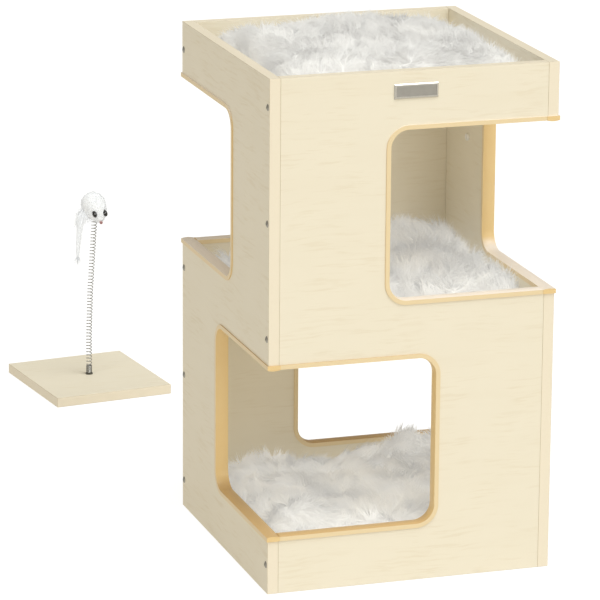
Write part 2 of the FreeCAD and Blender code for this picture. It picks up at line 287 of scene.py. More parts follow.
def node_group(name, tree_kind, inputs, outputs):
    """An empty node group with named sockets: its tree, what it is given and where its results go."""
    tree = bpy.data.node_groups.new(name, tree_kind)
    for label, kind, default in inputs:
        socket = tree.interface.new_socket(label, in_out="INPUT", socket_type=kind)
        if default is not None:
            socket.default_value = default
    for label, kind in outputs:
        tree.interface.new_socket(label, in_out="OUTPUT", socket_type=kind)
    start = tree.nodes.new("NodeGroupInput")
    end = tree.nodes.new("NodeGroupOutput")
    return tree, start.outputs, end.inputs


def place_group(tree, group, **values):
    node = tree.nodes.new("ShaderNodeGroup")
    node.node_tree = group
    for label, value in values.items():
        node.inputs[label.replace("_", " ")].default_value = value
    return node


# ---------------------------------------------------------------- shared effects

WAVE_SCALE = 14.0          # slow waves that the grain follows, per metre
WAVE_REACH = 3.0           # how far they carry the grain, in pitches
PATCH_SCALE = 18.0         # patches with and without marks, per metre
VEIN_SCALE = 0.16          # broad veins, next to the fine grain
VEIN_SHARE = 0.30
DUST_SCALE = 14.0          # dust, next to the mottle


def grain_group():
    """Short faint marks of printed wood grain: a mask, slow patches, and a shallow height."""
    inputs = (("Along", "NodeSocketVector", (1, 0, 0)),
              ("Length", "NodeSocketFloat", 0.03),
              ("Pitch", "NodeSocketFloat", 0.004))
    outputs = (("Marks", "NodeSocketFloat"), ("Patches", "NodeSocketFloat"),
               ("Height", "NodeSocketFloat"))
    tree, given, out = node_group("Printed Grain", "ShaderNodeTree", inputs, outputs)
    place = object_coordinates(tree)
    run = vector_node(tree, "DOT_PRODUCT", place, given["Along"])
    along = vector_node(tree, "SCALE", given["Along"], scale=run)
    across = vector_node(tree, "SUBTRACT", place, along)
    slow = vector_node(tree, "SCALE", along, scale=math_node(tree, "DIVIDE", 1.0, given["Length"]))
    fast = vector_node(tree, "SCALE", across, scale=math_node(tree, "DIVIDE", 1.0, given["Pitch"]))
    wave = noise_node(tree, vector_node(tree, "SCALE", place, scale=WAVE_SCALE), 1.0, 2.0)
    lift = tree.nodes.new("ShaderNodeCombineXYZ")
    link(tree, math_node(tree, "MULTIPLY", wave, WAVE_REACH), lift.inputs["Z"])
    grain = vector_node(tree, "ADD", vector_node(tree, "ADD", slow, fast), lift.outputs[0])
    fine = noise_node(tree, grain, 1.0, 3.0, 0.55)
    patches = noise_node(tree, vector_node(tree, "SCALE", place, scale=PATCH_SCALE), 1.0, 2.0)
    veins = noise_node(tree, vector_node(tree, "SCALE", grain, scale=VEIN_SCALE), 1.0, 2.0)
    marks = math_node(tree, "MULTIPLY", ranged(tree, fine, 0.52, 0.68), ranged(tree, patches, 0.36, 0.58))
    broad = ranged(tree, veins, 0.50, 0.80, 0.0, VEIN_SHARE)
    link(tree, math_node(tree, "ADD", marks, broad, clamp=True), out["Marks"])
    link(tree, patches, out["Patches"])
    link(tree, fine, out["Height"])
    return tree


def wear_group():
    """Faint handling marks: a slow mottle and a fine dust, both from 0 to 1."""
    inputs = (("Size", "NodeSocketFloat", 0.03),)
    outputs = (("Mottle", "NodeSocketFloat"), ("Dust", "NodeSocketFloat"))
    tree, given, out = node_group("Handling", "ShaderNodeTree", inputs, outputs)
    place = object_coordinates(tree)
    scaled = vector_node(tree, "SCALE", place, scale=math_node(tree, "DIVIDE", 1.0, given["Size"]))
    link(tree, noise_node(tree, scaled, 1.0, 3.0), out["Mottle"])
    finer = vector_node(tree, "SCALE", scaled, scale=DUST_SCALE)
    link(tree, noise_node(tree, finer, 1.0, 2.0), out["Dust"])
    return tree


def edges_group():
    """Masks of a board's cut edges and of the fine rounding between its faces."""
    inputs = (("Face Axis", "NodeSocketVector", (0, 0, 1)),)
    outputs = (("Edge", "NodeSocketFloat"), ("Arris", "NodeSocketFloat"))
    tree, given, out = node_group("Board Edges", "ShaderNodeTree", inputs, outputs)
    normal = tree.nodes.new("ShaderNodeTexCoord").outputs["Normal"]
    facing = math_node(tree, "ABSOLUTE", vector_node(tree, "DOT_PRODUCT", normal, given["Face Axis"]))
    link(tree, math_node(tree, "LESS_THAN", facing, 0.5), out["Edge"])
    parts = tree.nodes.new("ShaderNodeSeparateXYZ")
    link(tree, vector_node(tree, "ABSOLUTE", normal), parts.inputs[0])
    largest = math_node(tree, "MAXIMUM", parts.outputs["X"], parts.outputs["Y"])
    largest = math_node(tree, "MAXIMUM", largest, parts.outputs["Z"])
    link(tree, ranged(tree, largest, 0.975, 0.90), out["Arris"])
    return tree


def upward_group():
    """Mask of the faces that look up."""
    outputs = (("Mask", "NodeSocketFloat"),)
    tree, _, out = node_group("Upward Faces", "ShaderNodeTree", (), outputs)
    parts = tree.nodes.new("ShaderNodeSeparateXYZ")
    link(tree, tree.nodes.new("ShaderNodeTexCoord").outputs["Normal"], parts.inputs[0])
    link(tree, ranged(tree, parts.outputs["Z"], 0.35, 0.9), out["Mask"])
    return tree


# ---------------------------------------------------------------- materials

MARK_SHARE = 0.24          # how much of a board's grain, patches, soiling, bands and lines shows
PATCH_SHARE = 0.10
SOIL_SHARE = 0.05
CUT_SHARE = 0.75
# Painted shade: a dark line painted along the rounded edges of the boards, where the joints between them
# fall into shade.
ARRIS_SHADE_SHARE = 0.38
PATCH_COLOR = (0.93, 0.86, 0.70)
SOIL_COLOR = (0.70, 0.60, 0.42)
CUT_COLOR = (0.890, 0.805, 0.650)
# Colour of that painted shade line.
ARRIS_SHADE = (0.42, 0.33, 0.18)
TRIM_DRIFT = (0.86, 0.67, 0.36)
# How far a trim's upward faces take on their sill colour: painted reflection above, painted shade below.
PAINTED_SILL_SHARE = 0.9
METAL_SHADE = 0.72         # how dark the duller patches of a metal or a plastic are
PLASTIC_SHADE = 0.8
PILE_DRIFT = (0.93, 0.93, 0.92)
PILE_FINE = (0.90, 0.90, 0.90)
# Warm tint of the painted glow of the pile.
PAINTED_GLOW_TINT = (1.0, 0.992, 0.968)
SWEEP_SHADES = ((0.25, 0.25, 0.25), (0.24, 0.24, 0.24))
SWEEP_SEEN = (1.0, 1.0, 1.0)        # light of the sweep to the camera, and to the object
SWEEP_GIVEN = (1.0, 0.94, 0.82)
SEEN_STRENGTH = 0.88
GIVEN_STRENGTH = 0.60


def mottled(tree, wear, share, color, shade):
    """A colour that drifts a share of the way to a shade."""
    return mix_color(tree, ranged(tree, wear.outputs["Mottle"], 0.3, 0.7, 0.0, share), color, shade)


def scaled_color(color, scale):
    return tuple(c * s for c, s in zip(color, scale))


def laminate(name, along, face_axis, groups):
    """Wood-print board. The grain runs along one direction, and cut edges get a plainer band."""
    settings = bpy.context.scene.cat_laminate
    material, tree, surface = new_material(name, 0.42, Specular_IOR_Level=0.4, Coat_Roughness=0.25)
    grain = place_group(tree, groups["grain"], Along=along, Length=settings.grain_length,
                        Pitch=settings.grain_pitch)
    wear = place_group(tree, groups["wear"], Size=0.06)
    edges = place_group(tree, groups["edges"], Face_Axis=face_axis)
    layers = (
        (math_node(tree, "MULTIPLY", grain.outputs["Marks"], MARK_SHARE), tuple(settings.streak)),
        (ranged(tree, grain.outputs["Patches"], 0.3, 0.7, 0.0, PATCH_SHARE), PATCH_COLOR),
        (ranged(tree, wear.outputs["Mottle"], 0.35, 0.75, 0.0, SOIL_SHARE), SOIL_COLOR),
        (math_node(tree, "MULTIPLY", edges.outputs["Edge"], CUT_SHARE), CUT_COLOR),
        # Painted shade line along the rounded edges.
        (math_node(tree, "MULTIPLY", edges.outputs["Arris"], ARRIS_SHADE_SHARE), ARRIS_SHADE))
    base = tuple(settings.color)
    for share, color in layers:
        base = mix_color(tree, share, base, color)
    link(tree, base, surface.inputs["Base Color"])
    rough = ranged(tree, grain.outputs["Marks"], 0.0, 1.0, 0.40, 0.52)
    link(tree, rough, surface.inputs["Roughness"])
    link(tree, bump_node(tree, grain.outputs["Height"], 0.05, 0.0004), surface.inputs["Normal"])
    return material


def trim_plastic(name, lip_axis, painted_sill, groups):
    """Honey-coloured soft plastic. Its lips get a painted highlight that makes them paler than its crown,
    and its upward faces take a pale painted reflection on the upper sills and a brown painted shade on
    the lower sills.
    """
    settings = bpy.context.scene.cat_trim
    material, tree, surface = new_material(name, 0.34, IOR=1.45, Coat_Weight=0.12, Coat_Roughness=0.3)
    wear = place_group(tree, groups["wear"], Size=0.02)
    tone = mottled(tree, wear, 0.3, tuple(settings.color), TRIM_DRIFT)
    crown = place_group(tree, groups["edges"], Face_Axis=lip_axis).outputs["Edge"]
    # Painted highlight: the faces along the lip axis take the paler lip colour.
    tone = mix_color(tree, crown, tuple(settings.lip_highlight), tone)
    # Painted light on the upward faces: a painted reflection on the upper trims, painted shade on the
    # lower ones.
    upward = place_group(tree, groups["upward"]).outputs["Mask"]
    tone = mix_color(tree, math_node(tree, "MULTIPLY", upward, PAINTED_SILL_SHARE), tone, painted_sill)
    link(tree, tone, surface.inputs["Base Color"])
    link(tree, ranged(tree, wear.outputs["Dust"], 0.3, 0.7, 0.30, 0.42), surface.inputs["Roughness"])
    link(tree, bump_node(tree, wear.outputs["Mottle"], 0.1, 0.0006), surface.inputs["Normal"])
    return material


def metal(name, color, roughness, groups, brushed=0.0):
    """Bright or brushed metal with a faint change of polish."""
    material, tree, surface = new_material(name, roughness, Metallic=1.0)
    wear = place_group(tree, groups["wear"], Size=0.006)
    tone = mottled(tree, wear, 0.25, color, tuple(c * METAL_SHADE for c in color))
    link(tree, tone, surface.inputs["Base Color"])
    polish = ranged(tree, wear.outputs["Dust"], 0.3, 0.7, roughness * 0.8, roughness * 1.3)
    link(tree, polish, surface.inputs["Roughness"])
    if brushed:
        grain = place_group(tree, groups["grain"], Along=(1, 0, 0), Length=0.03, Pitch=0.0003)
        link(tree, bump_node(tree, grain.outputs["Height"], brushed, 0.00005), surface.inputs["Normal"])
    return material


def plastic(name, color, roughness, groups, **sockets):
    """Small moulded piece."""
    material, tree, surface = new_material(name, roughness, **sockets)
    wear = place_group(tree, groups["wear"], Size=0.004)
    tone = mottled(tree, wear, 0.15, color, tuple(c * PLASTIC_SHADE for c in color))
    link(tree, tone, surface.inputs["Base Color"])
    link(tree, bump_node(tree, wear.outputs["Dust"], 0.1, 0.0001), surface.inputs["Normal"])
    return material


def fur_material(name, color, painted_glow):
    """Pile or hair with slow drifts of tone. It glows with painted light, an emission that stands in for
    the light bounced between its hairs.
    """
    material, tree, surface = new_material(
        name, 0.75, Sheen_Weight=0.2, Sheen_Roughness=0.4, Specular_IOR_Level=0.15,
        Emission_Strength=painted_glow)
    place = object_coordinates(tree)
    drift = noise_node(tree, place, 26.0, 3.0)
    fine = noise_node(tree, place, 420.0, 2.0)
    base = mix_color(tree, ranged(tree, drift, 0.35, 0.7, 0.0, 0.25), color,
                     scaled_color(color, PILE_DRIFT))
    base = mix_color(tree, ranged(tree, fine, 0.4, 0.75, 0.0, 0.10), base,
                     scaled_color(color, PILE_FINE))
    link(tree, base, surface.inputs["Base Color"])
    # Painted light: the pile glows in its own colour, tinted warm.
    painted_glow_color = mix_color(tree, 1.0, base, PAINTED_GLOW_TINT, "MULTIPLY")
    link(tree, painted_glow_color, surface.inputs["Emission Color"])
    return material


def floor_material():
    """A white sweep that looks white from the camera and lights the object a little less."""
    material, tree, surface = new_material("Studio Sweep", 0.9, Specular_IOR_Level=0.0)
    mottle = noise_node(tree, object_coordinates(tree), 1.5, 2.0)
    tone = mix_color(tree, ranged(tree, mottle, 0.3, 0.7), *SWEEP_SHADES)
    link(tree, tone, surface.inputs["Base Color"])
    seen = tree.nodes.new("ShaderNodeLightPath").outputs["Is Camera Ray"]
    link(tree, mix_color(tree, seen, SWEEP_GIVEN, SWEEP_SEEN), surface.inputs["Emission Color"])
    strength = ranged(tree, seen, 0, 1, GIVEN_STRENGTH, SEEN_STRENGTH)
    link(tree, strength, surface.inputs["Emission Strength"])
    return material


def finish_node(name, material):
    """Give a CAD node one material in all its slots."""
    mesh = nodes[name].data
    mesh.materials.clear()
    mesh.materials.append(material)


# ---------------------------------------------------------------- boards, trim and hardware

def shared_groups():
    found = bpy.data.node_groups
    return {"grain": found.get("Printed Grain") or grain_group(),
            "wear": found.get("Handling") or wear_group(),
            "edges": found.get("Board Edges") or edges_group(),
            "upward": found.get("Upward Faces") or upward_group()}


class CATHOUSE_OT_boards(bpy.types.Operator):
    """Finish the walls, the floors and the toy's board as wood-print laminate"""
    bl_idname = "cathouse.boards"
    bl_label = "Boards"

    def execute(self, context):
        groups = shared_groups()
        across, deep, high = (1, 0, 0), (0, 1, 0), (0, 0, 1)
        finishes = (
            (laminate("Laminate Front", across, deep, groups), ("front_wall", "back_wall")),
            (laminate("Laminate Side", deep, across, groups), ("left_wall", "right_wall")),
            (laminate("Laminate Flat", across, high, groups),
             ("base_floor", "shelf_floor", "tray_floor", "toy_board")))
        for material, boards in finishes:
            for node in boards:
                finish_node(node, material)
        return {"FINISHED"}


class CATHOUSE_OT_trim(bpy.types.Operator):
    """Finish the eight edge trims"""
    bl_idname = "cathouse.trim"
    bl_label = "Edge Trim"

    def execute(self, context):
        groups = shared_groups()
        # Colours painted onto the trims' upward faces: a pale painted reflection for the upper sills, a
        # brown painted shade for the lower sills.
        sills = {"upper": tuple(context.scene.cat_trim.upper_sill_reflection),
                 "lower": tuple(context.scene.cat_trim.lower_sill_shade)}
        for storey, painted_sill in sills.items():
            for axis, sides in (((0, 1, 0), ("front", "back")), ((1, 0, 0), ("right", "left"))):
                name = f"Edge Trim {storey} {sides[0]}".title()
                material = trim_plastic(name, axis, painted_sill, groups)
                for side in sides:
                    finish_node(f"{side}_{storey}_trim", material)
        return {"FINISHED"}


class CATHOUSE_OT_hardware(bpy.types.Operator):
    """Finish the screws, dowels, front plate and string disc"""
    bl_idname = "cathouse.hardware"
    bl_label = "Hardware"

    def execute(self, context):
        groups = shared_groups()
        steel = metal("Screw Steel", (0.42, 0.41, 0.38), 0.38, groups)
        for node in ("left_wall_screws", "right_wall_screws", "toy_screw"):
            finish_node(node, steel)
        beech = laminate("Beech Dowel", (1, 0, 0), (0, 0, 1), groups)
        for node in ("base_dowels", "shelf_dowels", "tray_dowels"):
            finish_node(node, beech)
        finish_node("plate_frame", metal("Plate Chrome", (0.62, 0.61, 0.58), 0.16, groups))
        finish_node("plate_face", metal("Plate Satin", (0.40, 0.39, 0.37), 0.36, groups, brushed=0.25))
        finish_node("hanging_disc", plastic("Disc Plastic", (0.95, 0.94, 0.91), 0.4, groups))
        return {"FINISHED"}


# ---------------------------------------------------------------- meshes

def shade_smooth(mesh):
    for face in mesh.polygons:
        face.use_smooth = True


def mesh_object(name, mesh):
    obj = bpy.data.objects.new(name, mesh)
    bpy.context.scene.collection.objects.link(obj)
    shade_smooth(mesh)
    return obj


def close_mesh(bm, name):
    bmesh.ops.remove_doubles(bm, verts=bm.verts, dist=1e-6)
    bmesh.ops.recalc_face_normals(bm, faces=bm.faces)
    mesh = bpy.data.meshes.new(name)
    bm.to_mesh(mesh)
    bm.free()
    return mesh


def baked(obj):
    """Give the object a plain mesh with its modifiers applied."""
    bpy.context.view_layer.update()
    graph = bpy.context.evaluated_depsgraph_get()
    mesh = bpy.data.meshes.new_from_object(obj.evaluated_get(graph), depsgraph=graph)
    obj.modifiers.clear()
    obj.data = mesh


def add_modifier(obj, kind, **values):
    modifier = obj.modifiers.new(kind.title(), kind)
    for key, value in values.items():
        setattr(modifier, key, value)


def new_ring(bm, centre, radius, sides, turn=None):
    """A ring of points round a centre, level or turned."""
    ring = []
    for k in range(sides):
        angle = 2 * math.pi * k / sides
        spoke = Vector((math.cos(angle), math.sin(angle), 0)) * radius
        ring.append(bm.verts.new(centre + (spoke if turn is None else turn @ spoke)))
    return ring


def join_rings(bm, rings):
    """Side walls between each ring and the next."""
    sides = len(rings[0])
    for near, far in zip(rings, rings[1:]):
        for k in range(sides):
            after = (k + 1) % sides
            bm.faces.new((near[k], near[after], far[after], far[k]))


# ---------------------------------------------------------------- cushions

CUSHION_GRID = 48          # squares across a cushion before it is puffed
EDGE_PULL = 0.006          # how far the sides pull in at their middle
FUR_ROOM = 0.004           # left on each side of a cushion for its pile
SHOULDER = 0.16            # share of a cushion's half width over which its edge rounds down
CORNER_CUT = 0.012         # how far its corners round off in plan
UNDER_GAP = 0.002          # from the den's floor to its underside
UNDER_LIFT = 0.012         # how far the underside lifts at its edge
LUMP_SCALE = 15            # broad lumps and finer creases, per metre
CREASE_SCALE = 36
OWN_LEVEL = 90             # takes each cushion to a level of the noise of its own
VOXEL = 0.006              # size of the puffed mesh's squares
PUFF_FRAMES = 20
PUFF_PRESSURE = 4.0
PUFF_CAP = 0.006           # furthest that puffing may move a point
SMOOTH_PASSES = 8

# How each cushion lies. Heights above its floor in rows from the back to the front, each from left
# to right, then the size of its lumps.
LIE = {
    "top": (((0.036, 0.049, 0.042), (0.062, 0.052, 0.045), (0.048, 0.048, 0.041)), 0.004),
    "upper": (((0.044, 0.072, 0.064), (0.046, 0.060, 0.057), (0.042, 0.048, 0.056)), 0.012),
    "lower": (((0.055, 0.045, 0.077), (0.053, 0.054, 0.068), (0.047, 0.047, 0.051)), 0.018),
}


def eased(share):
    return share * share * (3 - 2 * share)


def lie_height(rows, across, along):
    """Height from a 3 by 3 table. Across and along run from -1 to 1, left to right and front to back."""
    def between(values, at):
        step = 0 if at < 0 else 1
        share = eased(at + 1 - step)
        return values[step] * (1 - share) + values[step + 1] * share
    return between([between(row, across) for row in reversed(rows)], along)


def cushion_height(lie, across, along, x, y):
    """Height of a cushion's top above its floor, lumpy and rounded down at its edges."""
    rows, lump = lie
    height = lie_height(rows, across, along)
    broad = Vector((x * LUMP_SCALE, y * LUMP_SCALE, rows[0][0] * OWN_LEVEL))
    height += lump * (2 * abs(noise.noise(broad)) - 0.5)
    fine = Vector((x * CREASE_SCALE, y * CREASE_SCALE, rows[1][1] * OWN_LEVEL))
    height += lump * 0.5 * noise.noise(fine)
    near = (1 - max(abs(across), abs(along))) / SHOULDER
    shoulder = math.sqrt(max(0.0, 1 - (1 - min(1.0, near)) ** 2))
    return height * (0.5 + 0.5 * shoulder)


def cushion_form(name):
    """A closed crowned pillow: flat below, lumpy above, with sides that pull in between the corners."""
    low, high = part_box(name + "_cushion_cover")
    centre = (low + high) / 2
    half_x = (high.x - low.x) / 2 - FUR_ROOM
    half_y = (high.y - low.y) / 2 - FUR_ROOM
    bm = bmesh.new()
    top = {}
    under = {}
    n = CUSHION_GRID
    for i in range(n + 1):
        for j in range(n + 1):
            across = 2 * i / n - 1
            along = 2 * j / n - 1
            x = across * (half_x - EDGE_PULL * (1 - along ** 2) * abs(across))
            y = along * (half_y - EDGE_PULL * (1 - across ** 2) * abs(along))
            corner = (abs(across) * abs(along)) ** 6
            x -= math.copysign(CORNER_CUT * corner, across)
            y -= math.copysign(CORNER_CUT * corner, along)
            rise = cushion_height(LIE[name], across, along, x, y)
            top[i, j] = bm.verts.new((centre.x + x, centre.y + y, low.z + rise))
            if max(abs(across), abs(along)) >= 1:
                under[i, j] = top[i, j]
            else:
                lift = UNDER_GAP + UNDER_LIFT * max(abs(across), abs(along)) ** 14
                under[i, j] = bm.verts.new((centre.x + x, centre.y + y, low.z + lift))
    for i in range(n):
        for j in range(n):
            corners = ((i, j), (i + 1, j), (i + 1, j + 1), (i, j + 1))
            bm.faces.new([top[c] for c in corners])
            bm.faces.new([under[c] for c in reversed(corners)])
    return mesh_object(name + "_cushion", close_mesh(bm, name + "_cushion"))


def puff(obj):
    """Swell the pillow as cloth under a little pressure, cap how far any point moves, and smooth it."""
    add_modifier(obj, "REMESH", mode="VOXEL", voxel_size=VOXEL)
    baked(obj)
    rest = [v.co.copy() for v in obj.data.vertices]
    lowest = min(v.z for v in rest)
    cloth = obj.modifiers.new("Puff", "CLOTH")
    cloth.settings.use_pressure = True
    cloth.settings.uniform_pressure_force = PUFF_PRESSURE
    cloth.settings.effector_weights.gravity = 0
    cloth.point_cache.frame_start = 1
    cloth.point_cache.frame_end = PUFF_FRAMES
    for step in range(1, PUFF_FRAMES + 1):
        bpy.context.scene.frame_set(step)
    baked(obj)
    bpy.context.scene.frame_set(1)
    for vertex, start in zip(obj.data.vertices, rest):
        move = vertex.co - start
        if move.length > PUFF_CAP:
            vertex.co = start + move.normalized() * PUFF_CAP
        vertex.co.z = max(vertex.co.z, lowest)
    add_modifier(obj, "SMOOTH", factor=0.5, iterations=SMOOTH_PASSES)
    add_modifier(obj, "SUBSURF", levels=1, render_levels=1)
    baked(obj)
    shade_smooth(obj.data)
    return obj


# ---------------------------------------------------------------- fur

LOCK_STEPS = 2             # lengths of a lock of fur, from its root to its tip
LOCK_SIDES = 3
LOCK_WIDTH = 0.06          # at its root, next to its height
TIP_DROP = 0.25            # height that a lock's tip loses for its bend
LOCK_SHAKE = 0.22          # how far each lock leans out of line
SHORTEST = 0.55            # heights of the locks, next to their given length
LONGEST = 1.15
DRIFT_GAIN = 4.0           # brings the noise's own reach up to about one
FUR_BEND = 0.55            # how far the tip of a lock leans over, next to its height
PLUSH_BEND = 0.6
LOWEST_SLOPE = -0.35       # faces of a cushion that look further down than this grow no pile
WALL_BAND = 0.008          # depth by a wall in which the locks bend along it
WALL_GAP = 0.0045          # from a cushion cover's box to the walls round it
SOFTNESS = 0.70            # how much a lock is shaded as the skin under it is


# Each cushion's name, strips of pile, tone, and length of pile as a share of the full length. The tone is
# painted shade: each cushion darkens the same white pile by its own share, set against its painted glow
# and to match how that cushion is lit.
BEDS = (("lower", 2, 0.80, 0.8), ("upper", 2, 0.77, 1.0), ("top", 3, 0.76, 0.75))


def lock_mesh(name, bend):
    """One lock of fur, a unit long up Z: a thin three-sided spike that curls over towards +X."""
    bm = bmesh.new()
    rings = []
    for step in range(LOCK_STEPS):
        share = step / LOCK_STEPS
        place = Vector((bend * share ** 2, 0, share * (1 - TIP_DROP * bend * share)))
        rings.append(new_ring(bm, place, 0.5 * LOCK_WIDTH * (1 - share ** 1.5), LOCK_SIDES))
    tip = bm.verts.new((bend, 0, 1 - TIP_DROP * bend))
    bm.faces.new(list(reversed(rings[0])))
    join_rings(bm, rings)
    for k in range(LOCK_SIDES):
        bm.faces.new((rings[-1][k], rings[-1][(k + 1) % LOCK_SIDES], tip))
    return mesh_object(name, close_mesh(bm, name))


def fur_tree():
    """Scatter locks over a skin. They lean with a slow drift and into the middle of each clump."""
    inputs = (
        ("Geometry", "NodeSocketGeometry", None),
        ("Locks per Square Metre", "NodeSocketFloat", 60000.0),
        ("Length", "NodeSocketFloat", 0.025),
        ("Thickness", "NodeSocketFloat", 0.0016),
        ("Lift", "NodeSocketFloat", 0.6),
        ("Drift", "NodeSocketFloat", 0.8),
        ("Drift Size", "NodeSocketFloat", 0.08),
        ("Clump Size", "NodeSocketFloat", 0.016),
        ("Clump Pull", "NodeSocketFloat", 0.8),
        ("Hang", "NodeSocketFloat", 0.0),
        ("Lowest Slope", "NodeSocketFloat", -0.2),
        ("Seed", "NodeSocketInt", 1),
        ("Lock", "NodeSocketObject", None),
        ("Material", "NodeSocketMaterial", None))
    outputs = (("Geometry", "NodeSocketGeometry"),)
    tree, given, out = node_group("Fur", "GeometryNodeTree", inputs, outputs)
    make = tree.nodes.new
    scatter = make("GeometryNodeDistributePointsOnFaces")
    place = make("GeometryNodeInputPosition").outputs[0]
    normal = make("GeometryNodeInputNormal").outputs[0]
    slope = make("ShaderNodeSeparateXYZ")
    link(tree, normal, slope.inputs[0])
    chosen = math_node(tree, "GREATER_THAN", slope.outputs["Z"], given["Lowest Slope"])
    link(tree, given["Geometry"], scatter.inputs["Mesh"])
    link(tree, chosen, scatter.inputs["Selection"])
    link(tree, given["Locks per Square Metre"], scatter.inputs["Density"])
    link(tree, given["Seed"], scatter.inputs["Seed"])
    skin = make("GeometryNodeStoreNamedAttribute")
    skin.data_type = "FLOAT_VECTOR"
    skin.inputs["Name"].default_value = "Skin"
    link(tree, scatter.outputs["Points"], skin.inputs["Geometry"])
    link(tree, scatter.outputs["Normal"], skin.inputs["Value"])
    under = make("GeometryNodeInputNamedAttribute")
    under.data_type = "FLOAT_VECTOR"
    under.inputs["Name"].default_value = "Skin"
    outward = under.outputs["Attribute"]
    drift = make("ShaderNodeTexNoise")
    link(tree, place, drift.inputs["Vector"])
    link(tree, math_node(tree, "DIVIDE", 1.0, given["Drift Size"]), drift.inputs["Scale"])
    wander = vector_node(tree, "SUBTRACT", drift.outputs["Color"], (0.5, 0.5, 0.5))
    wander = vector_node(tree, "SCALE", wander, scale=DRIFT_GAIN)
    wander = vector_node(tree, "SCALE", wander, scale=given["Drift"])
    cells = make("ShaderNodeTexVoronoi")
    link(tree, place, cells.inputs["Vector"])
    clumps = math_node(tree, "DIVIDE", 1.0, given["Clump Size"])
    link(tree, clumps, cells.inputs["Scale"])
    to_clump = vector_node(tree, "SUBTRACT", cells.outputs["Position"], place)
    to_clump = vector_node(tree, "SCALE", to_clump, scale=clumps)
    to_clump = vector_node(tree, "SCALE", to_clump, scale=given["Clump Pull"])
    lean = vector_node(tree, "ADD", wander, to_clump)
    hang = make("ShaderNodeCombineXYZ")
    link(tree, math_node(tree, "MULTIPLY", given["Hang"], -1.0), hang.inputs["Z"])
    lean = vector_node(tree, "ADD", lean, hang.outputs[0])
    inward = vector_node(tree, "DOT_PRODUCT", lean, outward)
    flat = vector_node(tree, "SUBTRACT", lean, vector_node(tree, "SCALE", outward, scale=inward))
    lifted = vector_node(tree, "SCALE", outward, scale=given["Lift"])
    shake = make("FunctionNodeRandomValue")
    shake.data_type = "FLOAT_VECTOR"
    shake.inputs[0].default_value = (-LOCK_SHAKE, -LOCK_SHAKE, -LOCK_SHAKE)
    shake.inputs[1].default_value = (LOCK_SHAKE, LOCK_SHAKE, LOCK_SHAKE)
    link(tree, given["Seed"], shake.inputs["Seed"])
    rise = vector_node(tree, "ADD", vector_node(tree, "ADD", lifted, flat), shake.outputs[0])
    stand = make("FunctionNodeAlignRotationToVector")
    stand.axis = "Z"
    link(tree, rise, stand.inputs["Vector"])
    turn = make("FunctionNodeAlignRotationToVector")
    turn.axis = "X"
    turn.pivot_axis = "Z"
    link(tree, stand.outputs[0], turn.inputs["Rotation"])
    link(tree, flat, turn.inputs["Vector"])
    vary = make("FunctionNodeRandomValue")
    vary.data_type = "FLOAT"
    vary.inputs[2].default_value = SHORTEST
    vary.inputs[3].default_value = LONGEST
    link(tree, math_node(tree, "ADD", given["Seed"], 7), vary.inputs["Seed"])
    tall = math_node(tree, "MULTIPLY", given["Length"], vary.outputs[1])
    thick = math_node(tree, "DIVIDE", given["Thickness"], LOCK_WIDTH)
    size = make("ShaderNodeCombineXYZ")
    link(tree, thick, size.inputs["X"])
    link(tree, thick, size.inputs["Y"])
    link(tree, tall, size.inputs["Z"])
    lock = make("GeometryNodeObjectInfo")
    link(tree, given["Lock"], lock.inputs["Object"])
    grow = make("GeometryNodeInstanceOnPoints")
    link(tree, skin.outputs["Geometry"], grow.inputs["Points"])
    link(tree, lock.outputs["Geometry"], grow.inputs["Instance"])
    link(tree, turn.outputs[0], grow.inputs["Rotation"])
    link(tree, size.outputs[0], grow.inputs["Scale"])
    real = make("GeometryNodeRealizeInstances")
    link(tree, grow.outputs[0], real.inputs[0])
    paint = make("GeometryNodeSetMaterial")
    link(tree, real.outputs[0], paint.inputs["Geometry"])
    link(tree, given["Material"], paint.inputs["Material"])
    link(tree, paint.outputs[0], out["Geometry"])
    return tree


def set_inputs(modifier, values):
    for item in modifier.node_group.interface.items_tree:
        if item.item_type == "SOCKET" and item.in_out == "INPUT" and item.name in values:
            modifier[item.identifier] = values[item.name]


def grow_fur(skin, name, lock, values):
    """Fur over a copy of the skin, as a plain mesh of its own."""
    tree = bpy.data.node_groups.get("Fur") or fur_tree()
    coat = bpy.data.objects.new(name, skin.data.copy())
    bpy.context.scene.collection.objects.link(coat)
    modifier = coat.modifiers.new("Fur", "NODES")
    modifier.node_group = tree
    set_inputs(modifier, {**values, "Lock": lock})
    baked(coat)
    soften(coat)
    return coat


def soften(coat):
    """Shade the locks partly as the skin they grow from, so that the pile looks soft."""
    mesh = coat.data
    shade_smooth(mesh)
    skin = mesh.attributes["Skin"].data
    normals = []
    for vertex, under in zip(mesh.vertices, skin):
        normals.append((vertex.normal * (1 - SOFTNESS) + under.vector * SOFTNESS).normalized())
    mesh.normals_split_custom_set_from_vertices(normals)


def keep_between(coat, low, high):
    """Bend the locks that reach past the walls round a cushion back along them."""
    for vertex in coat.data.vertices:
        for axis in (0, 1):
            middle = (low[axis] + high[axis]) / 2
            room = (high[axis] - low[axis]) / 2
            far = abs(vertex.co[axis] - middle)
            if far > room - WALL_BAND:
                held = room - WALL_BAND * math.exp(-(far - room + WALL_BAND) / WALL_BAND)
                vertex.co[axis] = middle + math.copysign(held, vertex.co[axis] - middle)


def skin_area(obj, lowest_slope):
    return sum(face.area for face in obj.data.polygons if face.normal.z > lowest_slope)


